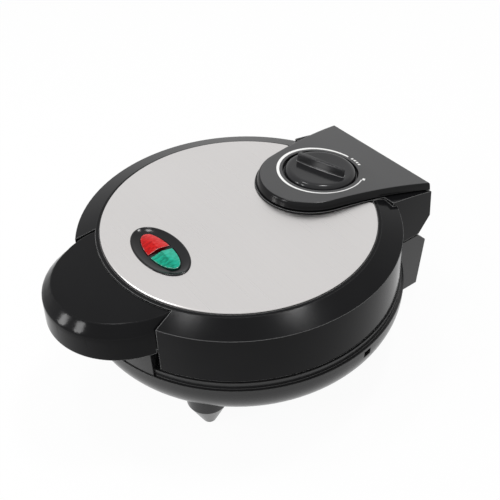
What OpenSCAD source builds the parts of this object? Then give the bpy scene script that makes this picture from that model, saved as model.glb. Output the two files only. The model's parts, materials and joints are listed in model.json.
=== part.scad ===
// Electric egg roll maker: a bowl-shaped base, a hinged lid with a steel panel, two patterned
// cooking plates and a thermostat dial on a raised pod over the hinge.
// +Z is up from the table, +Y points to the hinge and -Y to the handle. The origin lies on the
// table under the middle of the outline.

/* [Lid] */
// Radius of the lid at its crease
lid_r = 105; // [100:1:116]
// Height of the skirt below the crease
skirt_h = 31.8; // [29:0.2:40]
// How far the skirt flares out at its lower edge
skirt_flare = 1; // [0:0.1:1.5]
// Width of the sloped shoulder, seen from above
shoulder_w = 13.8; // [11:0.2:17]
// Rise of the sloped shoulder
shoulder_h = 4.5; // [3.5:0.1:7]
// Width of the flat lip round the steel panel
lip_w = 2.2; // [1.5:0.1:4]
// Wall of the moulded housings
wall = 2.5; // [2:0.1:3]
// Gap between the closed lid and the base's rim
lid_gap = 0.7; // [0.5:0.1:1.5]
// How far the lid's wall steps in under the handle
front_inset = 7; // [5:0.5:9]
// Half angle of that step
front_half = 28.6; // [26:0.2:32]

/* [Base] */
// How much wider the base is than the lid's crease
base_step = 4; // [3:0.5:8]
// Height of the bowl's underside above the table
floor_z = 18; // [14:1:26]
// Radius of the bowl's rounded lower edge
bowl_round = 28; // [24:1:34]
// Height of the straight band above the rounded edge
bowl_band = 4; // [2:0.5:10]
// Width of the ledge outside the upright rim
rim_step = 2; // [1:0.2:3]
// Thickness of the upright rim
rim_w = 3; // [2:0.2:4]
// Height of the upright rim
rim_h = 4.5; // [3.5:0.1:7]
// Angle at which each guide lug starts, from the front
lug_from = 15.5; // [12:0.5:18]
// Angle at which each guide lug ends
lug_to = 26.4; // [22:0.2:27]
// Gap between the guide lugs and the underside of the handle
lug_gap = 1.2; // [0.8:0.1:4]
// Distance of the front feet inside the bowl's edge
foot_in = 19; // [15:1:25]
// Angle of the front feet from the front
foot_angle = 40.4; // [34:0.2:50]
// Radius of a foot at its tip
foot_tip_r = 5; // [4.5:0.1:8]
// Radius of a foot where it meets the bowl
foot_root_r = 13; // [10:0.5:16]
// Thickness of the rubber pads
pad_h = 1.2; // [0.8:0.1:2]
// Width of the side slots in the bowl
slot_w = 6; // [4:0.5:10]
// Height of the side slots in the bowl
slot_h = 5; // [3:0.5:6]
// Angle of the side slots behind the middle
slot_angle = 8.5; // [4:0.5:14]

/* [Steel panel] */
// Gap round the steel panel
panel_gap = 1; // [0.5:0.1:2]
// Height of the panel above the lip
panel_rise = 1; // [0.5:0.1:2]
// Thickness of the sheet
panel_t = 0.8; // [0.5:0.1:1]
// Height of its turned-down edge
panel_edge = 2.2; // [2:0.1:3]
// Width of the ledge under the panel
ledge_w = 13; // [11.5:0.5:18]

/* [Handle] */
// Radius of the round handle at its lower edge
handle_r = 50.5; // [46:0.5:54]
// How far the handle stands out past the crease
handle_out = 29.5; // [24:0.5:36]
// Drop of the handle's top below the lip
handle_drop = 1.2; // [0.5:0.1:3]
// Thickness of the handle
handle_h = 21.8; // [18:0.2:25]
// Draft of the handle's side
handle_draft = 1; // [0.5:0.1:2]
// Width of the bevel round its top
handle_bevel_w = 3.6; // [2:0.2:6]
// Height of that bevel
handle_bevel_h = 6.3; // [3:0.1:8]
// Half width of the bay for the handle, at the lip
bay_half = 46.4; // [42:0.2:48]
// Angle at which each of the handle's tongues starts, from the front
tongue_from = 6; // [5:0.5:9]
// Angle at which each tongue ends
tongue_to = 22; // [16:0.5:24]

/* [Control pod] */
// Radius of the pod's nose on its top face
nose_r = 34; // [31:0.5:36]
// Length of the pod's top face
pod_len = 99; // [92:1:104]
// Angle at which the pod's sides flare
pod_flare = 10.5; // [8:0.5:11]
// Height of the pod's highest point above the lip
pod_rise = 8; // [7:0.2:12]
// Distance of the highest point in front of the nose's centre
crown_fwd = 20.7; // [14:0.1:26]
// Radius of the pod's crowned top
crown_r = 370; // [330:5:600]
// Width of the bevel round the pod
pod_bevel = 3.2; // [2:0.1:4]
// Depth of the pod cover at its edge
pod_edge = 5; // [4:0.1:6]
// Distance of the dial behind the nose's centre
dial_back = 9.6; // [6:0.2:14]

/* [Hinge] */
// How far the hinge axis lies behind the crease
hinge_out = 13.3; // [12:0.1:16]
// Width of the hinge box
box_w = 102; // [98:1:110]
// How far the lid's box stands behind the crease at its top
box_out = 19; // [17:0.5:24]
// How far the lid's box swells out below that
box_swell = 2.9; // [1:0.1:4]
// Height of the relief above the hinge axis
relief_up = 13; // [11:0.5:16]
// Height of the relief below the hinge axis
relief_down = 8.2; // [7:0.2:12]
// Depth of the base's box behind the hinge axis
base_box_out = 7.4; // [6:0.2:9]
// Draft of the base's box from its widest point to its foot
base_box_draft = 2.7; // [1:0.1:5]
// Half of the parting gap at the hinge
part = 0.6; // [0.4:0.1:1]
// Diameter of the hinge pins
pin_d = 4; // [3:0.5:5]
// Radius of the hinge knuckles
knuckle_r = 4.8; // [4.2:0.1:5.6]
// Length of each knuckle
knuckle_len = 11.4; // [9:0.2:12.6]
// Gap between neighbouring knuckles
knuckle_gap = 0.6; // [0.4:0.1:1]
// Distance of the innermost knuckles from the middle
knuckle_from = 6; // [3:0.5:7]

/* [Dial] */
// Radius of the dial's recess
recess_r = 25.6; // [24.8:0.1:28]
// Depth of the dial's recess
recess_d = 3; // [2.5:0.1:3.4]
// Radius of the knob at its skirt
knob_r = 24.4; // [20:0.1:24.6]
// Radius of the knob's face
knob_face_r = 22.8; // [18:0.1:23]
// Height of the knob's face above the pod
knob_face_h = 2; // [2:0.1:5]
// Length of the knob's grip bar
grip_len = 36; // [28:0.5:40]
// Width of the grip bar at its blunt end
grip_w = 4.4; // [4:0.2:8]
// Width of the grip bar at its pointing end
grip_tip = 2.6; // [1.6:0.2:4]
// Height of the grip bar above the pod
grip_h = 7.2; // [6:0.1:12]
// Angle of the grip bar as it stands
grip_angle = 18; // [0:1:33]
// Diameter of the thermostat's shaft
shaft_d = 6; // [5:0.5:7]

/* [Lamp window] */
// Half length of the oval bezel
bezel_a = 27; // [24:0.5:29]
// Half width of the oval bezel
bezel_b = 14.4; // [13:0.2:16]
// Distance of the bezel's middle inside the panel's edge
bezel_in = 29.5; // [28:0.5:34]
// Height of the bezel above the panel
bezel_h = 1.4; // [1:0.1:2.5]
// Half length of the two lenses together
lens_a = 20; // [16:0.5:21]
// Half width of the lenses
lens_b = 8; // [7:0.2:10]
// Width of the bar between the lenses
lens_bar = 1.6; // [1:0.2:3]
// Height of the lenses above the bezel, at the bar
lens_h = 2.6; // [1:0.1:4]

/* [Cooking plates] */
// Gap between the plates' rims and the lid's stepped-in wall
plate_gap = 1; // [0.6:0.1:2]
// Width of the plates' rims
plate_flange = 4; // [3:0.5:6]
// Thickness of the plates' rims
flange_t = 1.4; // [1:0.1:2]
// Thickness of the plates
plate_t = 6; // [5:0.5:8]
// Gap between the closed plates
cook_gap = 1.6; // [1.2:0.1:2.4]
// Height of the bead round the lower plate
bead_h = 0.8; // [0.4:0.1:1]
// Spacing of the pattern's grooves
groove_pitch = 15; // [11:0.5:22]
// Width of the grooves
groove_w = 1.4; // [1:0.1:2]
// Depth of the grooves
groove_d = 0.8; // [0.5:0.1:1.2]
// Distance of the ring-shaped heaters inside the plates' edge
heater_in = 28.5; // [24.5:0.5:34.5]
// Radius of the heaters' tubes
heater_tube_r = 3.5; // [3:0.1:4]
// Thickness of the heat reflectors
pan_t = 0.8; // [0.6:0.1:1]
// Room between the lower reflector and the bowl's floor
lower_pan_room = 13.5; // [10:0.5:16]
// Room between the upper reflector and the lip
upper_pan_room = 14.7; // [14:0.1:17]
// Radius of the posts that carry the plates
post_r = 4.5; // [4:0.1:6]
// Distance of the lower plate's posts inside its edge
lower_post_in = 18.5; // [12.5:0.5:20.5]
// Distance of the upper plate's posts inside its edge
upper_post_in = 8.5; // [7.5:0.5:10.5]

/* [Fits] */
// Radial clearance of pins, shafts and screws
fit = 0.05; // [0.02:0.01:0.09]
// Gap round a seated cover or lens
seat_gap = 0.25; // [0.15:0.05:0.4]
// Running gap between moving pieces
run_gap = 0.6; // [0.4:0.1:1]

/* [Hidden] */
$fn = 96;

// Heights, from the table up
shoulder_z = floor_z + bowl_round + bowl_band;
rim_z = shoulder_z + rim_h;
lid_z = rim_z + lid_gap;
crease_z = lid_z + skirt_h;
lip_z = crease_z + shoulder_h;
panel_z = lip_z + panel_rise;
ledge_z = panel_z - panel_edge;
tongue_z = ledge_z - wall;
handle_top = lip_z - handle_drop;
handle_z = handle_top - handle_h;

// Radii, from the lid inwards and outwards
lip_r = lid_r - shoulder_w;
seat_r = lip_r - lip_w;
panel_r = seat_r - panel_gap;
ledge_r = seat_r - ledge_w;
skirt_r = lid_r + skirt_flare;
front_r = lid_r - front_inset;
base_r = lid_r + base_step;
rim_r = base_r - rim_step;
rim_in = rim_r - rim_w;
foot_r = base_r - foot_in;
bezel_y = panel_r - bezel_in;

// Handle, pod and hinge
handle_y = handle_r - handle_out - lid_r;
hinge_y = lid_r + hinge_out;
hinge_z = shoulder_z;
pod_rear = lid_r + box_out;
nose_y = pod_rear - pod_len + nose_r;
crown_y = nose_y - crown_fwd;
crown_z = lip_z + pod_rise;
dial_y = nose_y + dial_back;
dial_tilt = asin((dial_y - crown_y) / crown_r);
box_front = lid_r - 17;
cup_r = recess_r + 2;
box_widest = pod_rear + box_swell;
axis_y = (lid_r + handle_out - box_widest) / 2;

// Cooking plates: faces, rims and pans
plate_rim_r = front_r - wall - plate_gap;
plate_r = plate_rim_r - plate_flange;
pan_r = plate_r + 1.5;
heater_r = plate_r - heater_in;
lower_post_at = plate_r - lower_post_in;
upper_post_at = plate_r - upper_post_in;
lower_face = rim_z - 1.1;
lower_back = lower_face - plate_t;
pan_seat = lower_face - flange_t;
upper_face = lower_face + cook_gap;
upper_back = upper_face + plate_t;
lower_pan_z = floor_z + wall + lower_pan_room;
upper_pan_z = lip_z - upper_pan_room;
heater_sink = 1;
heater_gap = 15;
heater_pin_r = 2;

// Screws: a pan head with a cross recess over a plain shank
screw_r = 1.9;
screw_head_r = 3.8;
screw_head_h = 1.2;
cross_w = 0.8;
cross_d = 0.6;
cross_share = 0.6;
cover_screw_len = 8;
cover_head_h = 0.8;
lower_screw_len = 12;
upper_screw_len = wall + 8;
grip_screw_len = wall + 5;
handle_screw_len = 9;
pod_screw_len = wall + 4;

function crown(y) = crown_z - crown_r + sqrt(crown_r * crown_r - (y - crown_y) * (y - crown_y));
function pod_x(d, y) = (nose_r + d) / cos(pod_flare) + (y - nose_y) * tan(pod_flare);
function oval(a, b, from = 0, to = 360, step = 7.5) =
    [for (t = [from : step : to - (to - from == 360 ? step : 0)]) [a * cos(t), b * sin(t)]];

// The lid's axis is set so that the origin falls under the middle of the outline
module on_axis() translate([0, axis_y, 0]) children();
module mirrored() { children(); mirror([1, 0, 0]) children(); }
module around(angles, radius) for (t = angles) rotate(t) translate([radius, 0, 0]) children();
module at_dial() translate([0, dial_y, crown(dial_y)]) rotate([-dial_tilt, 0, 0]) children();
module at_hinge(from) translate([from, hinge_y, hinge_z]) rotate([0, 90, 0]) children();

// A piece of a turned shape, within an angle to each side of the front
module front_sector(from, to) rotate(from - 90) rotate_extrude(angle = to - from) children();

// A profile in the Y-Z plane, drawn out along X
module side_profile(width) rotate([90, 0, 90]) linear_extrude(width, center = true) children();

module screw(len, head_r = screw_head_r, head_h = screw_head_h, shank_r = screw_r) {
    difference() {
        cylinder(r = head_r, h = head_h);
        for (t = [0, 90]) rotate(t) translate([-head_r * cross_share, -cross_w / 2, head_h - cross_d])
            cube([2 * head_r * cross_share, cross_w, head_h]);
    }
    translate([0, 0, -len]) cylinder(r = shank_r, h = len);
}

// Everything below the pod's crowned top, lowered by a distance
module crown_under(drop) translate([0, crown_y, crown_z - crown_r]) rotate([0, 90, 0])
    cylinder(r = crown_r - drop, h = 4 * box_w, center = true, $fn = 720);

// The pod seen from above: a round nose and two flared sides, widened by a distance
pod_turn = 3;
function nose_arc(d) = [for (t = [-90 : pod_turn : -pod_flare - pod_turn / 2])
    [(nose_r + d) * cos(t), nose_y + (nose_r + d) * sin(t)]];
function nose_end(d) = nose_y - (nose_r + d) * sin(pod_flare);
module pod_outline(d, rear) {
    half = concat(nose_arc(d), [[pod_x(d, nose_end(d)), nose_end(d)], [pod_x(d, rear), rear]]);
    polygon(concat(half, [for (i = [len(half) - 1 : -1 : 1]) [-half[i][0], half[i][1]]]));
}

// Base

// Cross-section of the bowl, shrunk by a wall
module bowl_2d(d) {
    r = base_r - d;
    low = floor_z + d;
    bend = bowl_round - d;
    translate([0, low]) square([r - bend, shoulder_z - low]);
    translate([0, low + bend]) square([r, shoulder_z - low - bend]);
    intersection() {
        translate([r - bend, low + bend]) circle(bend);
        translate([r - bend, low]) square(bend);
    }
}

base_box = [[box_front, hinge_z - part], [hinge_y - part, hinge_z - part],
            [hinge_y + base_box_out, hinge_z - relief_down],
            [hinge_y + base_box_out - base_box_draft, pad_h],
            [lid_r - 8, pad_h], [lid_r - 13, floor_z + 5], [box_front, floor_z + 8]];
base_box_inner = [[box_front, hinge_z - part - wall], [hinge_y - part - wall, hinge_z - part - wall],
                  [hinge_y + base_box_out - wall, hinge_z - relief_down - wall / 2],
                  [hinge_y + base_box_out - base_box_draft - wall, pad_h + wall],
                  [lid_r - 8 + wall, pad_h + wall], [lid_r - 13 + wall, floor_z + 5],
                  [box_front, floor_z + 8 + wall]];
cover_y0 = lid_r - 3;
cover_y1 = hinge_y + base_box_out - base_box_draft - 8;
cover_x = box_w / 2 - 12;
cover_t = 2;
lug_r = base_r - 0.6;
boss_r = 4.5;
box_screw_len = 17;
window_w = 20;
block_h = 8;
block_z = floor_z + wall + block_h;
base_knuckles = [knuckle_from, knuckle_from + 2 * (knuckle_len + knuckle_gap)];
lid_knuckle = knuckle_from + knuckle_len + knuckle_gap;
gland_z = floor_z + 6;
gland_r = 6.2;
base_box_h = hinge_z - relief_down - pad_h;
gland_y = hinge_y + base_box_out - base_box_draft * (1 - (gland_z - pad_h) / base_box_h);
gland_tilt = atan(base_box_draft / (hinge_z - relief_down - pad_h));
lower_posts = [30, 150, 270];

module at_feet() mirrored() rotate(foot_angle - 90) translate([foot_r, 0, 0]) children();
module at_rear_pads() mirrored() translate([box_w / 2 - 7, lid_r + 4, 0]) children();
module at_cover_screws() mirrored() translate([cover_x - 4, (cover_y0 + cover_y1) / 2, 0]) children();
module at_box_screws() mirrored() translate([box_w / 2 - 15, base_r - 14, hinge_z - 7])
    rotate([-90, 0, 0]) children();
module at_gland() translate([0, gland_y, gland_z]) rotate([-90 - gland_tilt, 0, 0]) children();

// Solid segments round the hinge axis, joined to the box that carries them
module knuckles(starts, profile) mirrored() for (x = starts) {
    at_hinge(x) cylinder(r = knuckle_r, h = knuckle_len);
    intersection() {
        translate([x + knuckle_len / 2, 0, 0]) side_profile(knuckle_len) polygon(profile);
        at_hinge(x) cylinder(r = 2 * knuckle_r, h = knuckle_len);
    }
}
module knuckle_room(starts) mirrored() for (x = starts)
    at_hinge(x - knuckle_gap / 2) cylinder(r = knuckle_r + run_gap, h = knuckle_len + knuckle_gap);
module pin_bores() mirrored() at_hinge(knuckle_from - 1)
    cylinder(d = pin_d + 2 * fit, h = 3 * knuckle_len + 4);

// Bowl with its upright rim, and the ledge inside it that carries the reflector
module lower_housing() {
    rib_z = shoulder_z - 2 * wall;
    color("#1d1d1f") on_axis() difference() {
        union() {
            difference() {
                rotate_extrude() bowl_2d(0);
                rotate_extrude() bowl_2d(wall);
                translate([0, 0, shoulder_z - wall - 1]) cylinder(r = rim_in, h = wall + 2);
            }
            rotate_extrude() {
                translate([rim_in, rib_z]) square([base_r - wall / 2 - rim_in, shoulder_z - rib_z]);
                translate([rim_in, shoulder_z - wall / 2]) square([rim_w, rim_h + wall / 2]);
                translate([pan_r + 4, pan_seat - pan_t - wall]) square([rim_in - pan_r - 3.5, wall]);
            }
            around(lower_posts, lower_post_at) translate([0, 0, floor_z + wall / 2])
                cylinder(r = post_r + 1.5, h = wall + 2);
            intersection() {
                at_box_screws() cylinder(r = boss_r + 1.5, h = 4 * wall);
                rotate_extrude() bowl_2d(wall / 2);
            }
        }
        around(lower_posts, lower_post_at) {
            translate([0, 0, floor_z - 1]) cylinder(r = screw_r + fit, h = 4 * wall);
            translate([0, 0, floor_z - 1]) cylinder(r = screw_head_r + seat_gap, h = 1 + screw_head_h);
        }
        at_box_screws() translate([0, 0, -1]) cylinder(r = screw_r + fit, h = box_screw_len);
        mirrored() rotate(slot_angle) translate([base_r - 2 * wall, -slot_w / 2, shoulder_z - 2 - slot_h])
            cube([4 * wall, slot_w, slot_h]);
        // cooling slots in the floor, and a window for the wires
        around([0 : 30 : 330], 34) translate([0, -1.5, floor_z - 1]) cube([20, 3, wall + 2]);
        translate([-window_w / 2, base_r - bowl_round / 2, floor_z + bowl_round / 2])
            cube([window_w, bowl_round, window_w / 2]);
    }
}

// Rear box with the hinge, shaped to the bowl it is screwed to
module hinge_base() {
    color("#1d1d1f") on_axis() difference() {
        union() {
            difference() {
                side_profile(box_w) polygon(base_box);
                side_profile(box_w - 2 * wall) polygon(base_box_inner);
                knuckle_room([lid_knuckle]);
            }
            knuckles(base_knuckles, base_box);
            at_box_screws() translate([0, 0, wall]) cylinder(r = boss_r, h = box_screw_len);
            // rail round the opening for the wiring cover
            difference() {
                translate([-cover_x - 3, cover_y0 - 3, pad_h + cover_t])
                    cube([2 * cover_x + 6, cover_y1 - cover_y0 + 6, wall]);
                translate([3 - cover_x, cover_y0 + 3, 0])
                    cube([2 * cover_x - 6, cover_y1 - cover_y0 - 6, 3 * wall]);
            }
            at_cover_screws() translate([0, 0, pad_h + wall]) cylinder(r = 4, h = 8);
        }
        rotate_extrude() bowl_2d(-fit);
        pin_bores();
        translate([-cover_x - seat_gap, cover_y0 - seat_gap, 0])
            cube([2 * (cover_x + seat_gap), cover_y1 - cover_y0 + 2 * seat_gap, pad_h + cover_t]);
        at_cover_screws() cylinder(r = screw_r + fit, h = pad_h + wall + 7);
        at_gland() translate([0, 0, -2 * wall]) cylinder(r = gland_r + fit, h = 4 * wall);
        at_box_screws() cylinder(r = screw_r + fit, h = box_screw_len);
    }
}

module hinge_base_screws() {
    color("#8d8f92") on_axis() at_box_screws() rotate([180, 0, 0]) screw(box_screw_len - 1);
}

// Two tapered feet, hollowed to the bowl's rounded edge
module front_feet() {
    color("#1d1d1f") on_axis() difference() {
        at_feet() translate([0, 0, pad_h]) {
            cylinder(r1 = foot_tip_r, r2 = foot_root_r, h = floor_z);
            translate([0, 0, floor_z]) cylinder(r = foot_root_r, h = bowl_round / 2);
        }
        rotate_extrude() bowl_2d(-fit);
    }
}

// Two lugs on the rim that guide the closing handle
module guide_lugs() {
    top = handle_z - lug_gap;
    color("#1d1d1f") on_axis() mirrored() front_sector(lug_from, lug_to)
        polygon([[rim_in - 2, rim_z + fit], [rim_r + fit, rim_z + fit], [rim_r + fit, shoulder_z + fit],
                 [lug_r, shoulder_z + fit], [lug_r, top], [rim_in - 2, top]]);
}

module wiring_cover() {
    color("#1d1d1f") on_axis() difference() {
        translate([-cover_x, cover_y0, pad_h]) cube([2 * cover_x, cover_y1 - cover_y0, cover_t]);
        at_cover_screws() {
            cylinder(r = screw_r + fit, h = 10);
            cylinder(r = screw_head_r + seat_gap, h = pad_h + 0.8);
        }
        for (x = [-12 : 6 : 12]) translate([x - 1.2, cover_y0 + 4, 0])
            cube([2.4, cover_y1 - cover_y0 - 8, 10]);
    }
}

module wiring_cover_screws() {
    color("#8d8f92") on_axis() at_cover_screws() translate([0, 0, pad_h + 0.8]) rotate([180, 0, 0])
        screw(cover_screw_len, head_h = cover_head_h);
}

module cord_gland() {
    color("#232325") on_axis() at_gland() translate([0, 0, fit]) difference() {
        union() {
            cylinder(r = gland_r + 2.2, h = 0.9);
            translate([0, 0, 0.9]) cylinder(r1 = gland_r + 1.4, r2 = gland_r - 0.6, h = 0.9);
            translate([0, 0, -wall - 3]) cylinder(r = gland_r, h = wall + 3);
        }
        translate([0, 0, -10]) cylinder(r = 3.6, h = 20);
    }
}

module terminal_block() {
    poles = 4;
    pitch = 11;
    depth = 14;
    cell = pitch * 0.65;
    color("#e6e2d6") on_axis() translate([0, heater_r - 3, floor_z + wall]) difference() {
        translate([-poles * pitch / 2, -depth / 2, 0]) cube([poles * pitch, depth, block_h]);
        for (i = [0 : poles - 1]) translate([(i - (poles - 1) / 2) * pitch, 0, 0]) {
            translate([0, 0, 3]) cylinder(r = 2.4, h = block_h);
            mirror([0, 1, 0]) translate([-cell / 2, depth / 2 - 2, block_h / 2]) cube([cell, 3, block_h]);
            translate([-cell / 2, depth / 2 - 2, block_h / 2]) cube([cell, 3, block_h]);
        }
    }
}

module foot_pads() {
    color("#3a3a3c") on_axis() {
        at_feet() cylinder(r = foot_tip_r - 0.6, h = pad_h);
        at_rear_pads() cylinder(r = 5.5, h = pad_h);
    }
}

// A pressed pan with a flat rim; the lower one opens upwards
module pan(depth, rim) {
    rotate_extrude() polygon([[0, -depth], [pan_r + pan_t, -depth], [pan_r + pan_t, -pan_t], [rim, -pan_t],
                              [rim, 0], [pan_r, 0], [pan_r, pan_t - depth], [0, pan_t - depth]]);
}

module lower_heat_reflector() {
    color("#b9bbbd") on_axis() difference() {
        translate([0, 0, pan_seat]) pan(pan_seat - lower_pan_z, rim_in - seat_gap);
        around(lower_posts, lower_post_at) cylinder(r = post_r + seat_gap, h = lip_z);
        heater_ends(90) cylinder(r = heater_pin_r + seat_gap, h = lip_z);
    }
}

// The heater's ring stops short at a gap, and its cold pins stand just inside the two ends
module heater_ends(gap_at) around([gap_at - heater_gap, gap_at + heater_gap], heater_r) children();
module heater_ring(gap_at) rotate(gap_at + heater_gap - 4) rotate_extrude(angle = 368 - 2 * heater_gap)
    translate([heater_r, 0]) circle(heater_tube_r, $fn = 32);

module lower_heating_element() {
    tube_z = lower_back - heater_sink;
    color("#77787b") on_axis() {
        translate([0, 0, tube_z]) heater_ring(90);
        heater_ends(90) translate([0, 0, block_z + 1]) cylinder(r = heater_pin_r, h = tube_z - block_z - 1);
    }
}

// A cast plate, face up at height 0: rim, back, heater groove and a lattice of grooves in the face
module cooking_plate(bead) {
    reach = plate_r - groove_w;
    count = floor(reach / groove_pitch);
    difference() {
        rotate_extrude() {
            translate([0, -plate_t]) square([plate_r, plate_t]);
            translate([0, -flange_t]) square([plate_rim_r, flange_t]);
            if (bead > 0) translate([plate_rim_r - 2, -0.1]) square([2, bead + 0.1]);
        }
        intersection() {
            translate([0, 0, -groove_d]) cylinder(r = reach, h = 2 * groove_d);
            for (t = [30, -30], i = [-count : count])
                rotate(t) translate([i * groove_pitch - groove_w / 2, -plate_r, -groove_d])
                    cube([groove_w, 2 * plate_r, 2 * groove_d]);
        }
        translate([0, 0, -plate_t - heater_sink]) rotate_extrude()
            translate([heater_r, 0]) circle(heater_tube_r + 2 * fit, $fn = 32);
    }
}

module lower_cooking_plate() {
    post_z = floor_z + 1.5 * wall + 2;
    color("#3f4042") on_axis() {
        translate([0, 0, lower_face]) cooking_plate(bead_h);
        around(lower_posts, lower_post_at) translate([0, 0, post_z]) difference() {
            cylinder(r = post_r, h = lower_back - post_z + 1);
            translate([0, 0, -1]) cylinder(r = screw_r + fit, h = 10);
        }
    }
}

module lower_plate_screws() {
    color("#8d8f92") on_axis() around(lower_posts, lower_post_at)
        translate([0, 0, floor_z + screw_head_h]) rotate([180, 0, 0]) screw(lower_screw_len);
}

module hinge_pins() {
    color("#a9abad") on_axis() mirrored() at_hinge(knuckle_from + 0.5)
        cylinder(d = pin_d, h = 3 * knuckle_len + 2 * knuckle_gap - 1);
}

// Lid

// Cross-section of the lid's ring: skirt, shoulder, lip and the ledge under the panel
module lid_ring_2d() polygon([[skirt_r, lid_z], [lid_r, crease_z], [lip_r, lip_z], [seat_r, lip_z],
    [seat_r, ledge_z], [ledge_r, ledge_z], [ledge_r, tongue_z], [lip_r, tongue_z],
    [lid_r - wall, crease_z - wall], [skirt_r - wall, lid_z]]);

// The space inside the ring's wall, from which the hinge box is trimmed
module lid_core() {
    d = wall / 2;
    rotate_extrude() polygon([[0, lid_z], [skirt_r - d, lid_z], [lid_r - d, crease_z - d],
                              [lip_r, lip_z - d], [seat_r, lip_z - d], [seat_r, 2 * crown_z],
                              [0, 2 * crown_z]]);
    translate([0, 0, shoulder_z - 1]) cylinder(r = rim_r + run_gap, h = lid_z - shoulder_z + 1);
}

// The round handle, shrunk by a wall, with straight sides running in to the lid
module handle_solid(d) {
    low_r = handle_r - d;
    side_r = low_r - handle_draft;
    top_r = side_r - handle_bevel_w;
    top = handle_top - d;
    bevel_z = handle_top - handle_bevel_h - d / 2;
    translate([0, handle_y, 0]) {
        translate([0, 0, handle_z]) cylinder(r1 = low_r, r2 = side_r, h = bevel_z - handle_z);
        translate([0, 0, bevel_z]) cylinder(r1 = side_r, r2 = top_r, h = top - bevel_z);
        translate([0, handle_r / 2, 0]) rotate([90, 0, 0]) linear_extrude(handle_r / 2)
            polygon([[-low_r, handle_z], [low_r, handle_z], [side_r, bevel_z], [top_r, top],
                     [-top_r, top], [-side_r, bevel_z]]);
    }
}

// The bay in the lid's ring that takes the handle, between slanted sides and outside the lip
bay_z = handle_z + 1.2 * wall;
bay_lip = [bay_half, -sqrt(lip_r * lip_r - bay_half * bay_half)];
bay_edge = [lid_r * sin(front_half), -lid_r * cos(front_half)];
bay_lean = (bay_edge[0] - bay_lip[0]) / (bay_lip[1] - bay_edge[1]);
bay_rim = 0.4;
module bay(d) {
    back = bay_lip[1] + bay_half / 3;
    front = bay_edge[1] - handle_out;
    back_x = bay_half + d + (bay_lip[1] - back) * bay_lean;
    front_x = bay_half + d + (bay_lip[1] - front) * bay_lean;
    translate([0, 0, bay_z - d]) linear_extrude(2 * handle_h) difference() {
        polygon([[-back_x, back], [back_x, back], [front_x, front], [-front_x, front]]);
        circle(lip_r + bay_rim - d);
    }
}

// Everything within the outside of the lid's ring
module lid_space(d) rotate_extrude()
    polygon([[0, shoulder_z], [skirt_r + d, shoulder_z], [skirt_r + d, lid_z],
             [lid_r + d, crease_z + d / 2], [lip_r + d, lip_z + d], [0, lip_z + d]]);

module at_grip_screws() mirrored() rotate((tongue_from + tongue_to) / 2 - 90) translate([lip_r - 8, 0, 0])
    children();
module at_handle_screws() mirrored() translate([handle_r * 0.5, handle_y - handle_r * 0.6, 0]) children();
module at_pod_screws() mirrored() translate([nose_r * 0.62, nose_y - nose_r * 0.5, 0]) children();

lid_box = [[box_front, hinge_z + part], [hinge_y - part, hinge_z + part],
           [box_widest, hinge_z + relief_up], [pod_rear, crown(pod_rear)], [box_front, crown_z + 5]];
lid_box_inner = [[box_front + wall, hinge_z], [hinge_y - part - 2 * wall, hinge_z],
                 [box_widest - wall, hinge_z + relief_up + wall / 3], [pod_rear - wall, crown(pod_rear)],
                 [box_front + wall, crown_z + 5]];
upper_posts = [30, 150, 270];

module lid_housing() {
    top_gap = pod_edge + seat_gap / 2;
    color("#1d1d1f") on_axis() difference() {
        union() {
            // ring with a thick front, from which the handle's bay and the step below it are cut
            difference() {
                union() {
                    rotate_extrude() lid_ring_2d();
                    front_sector(-front_half - 2.5, front_half + 2.5) translate([front_r - wall, lid_z])
                        square([lid_r - wall / 2 - front_r + wall, handle_z + 1.5 * wall - lid_z]);
                }
                front_sector(-front_half, front_half) translate([front_r, lid_z - 1])
                    square([3 * front_inset, handle_z - lid_z + 1 + seat_gap]);
                bay(0);
            }
            // hinge box, open below and under the pod cover
            difference() {
                intersection() {
                    side_profile(box_w) polygon(lid_box);
                    crown_under(top_gap);
                }
                intersection() {
                    side_profile(box_w - 2 * wall) polygon(lid_box_inner);
                    crown_under(top_gap + wall);
                }
                translate([0, 0, tongue_z]) linear_extrude(3 * pod_rise) pod_outline(0, pod_rear - wall);
                lid_core();
                knuckle_room(base_knuckles);
            }
            knuckles([lid_knuckle], lid_box);
            // low wall and floor under the pod cover
            intersection() {
                translate([0, 0, tongue_z]) linear_extrude(3 * pod_rise) difference() {
                    pod_outline(pod_bevel - 0.4, box_front + wall);
                    pod_outline(pod_bevel - 0.4 - wall, box_front + 2 * wall);
                }
                crown_under(top_gap);
            }
            translate([0, 0, tongue_z]) linear_extrude(wall) intersection() {
                pod_outline(pod_bevel - 0.4, box_front);
                circle(seat_r + 1);
            }
        }
        pin_bores();
        translate([0, dial_y, tongue_z - wall]) cylinder(r = cup_r + run_gap, h = 3 * wall);
        at_grip_screws() translate([0, 0, tongue_z - 1]) cylinder(r = screw_r + fit, h = wall + 2);
        at_pod_screws() translate([0, 0, tongue_z - 1]) cylinder(r = screw_r + fit, h = wall + 2);
        around(upper_posts, upper_post_at) translate([0, 0, tongue_z - 1])
            cylinder(r = screw_r + fit, h = wall + 2);
    }
}

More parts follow.
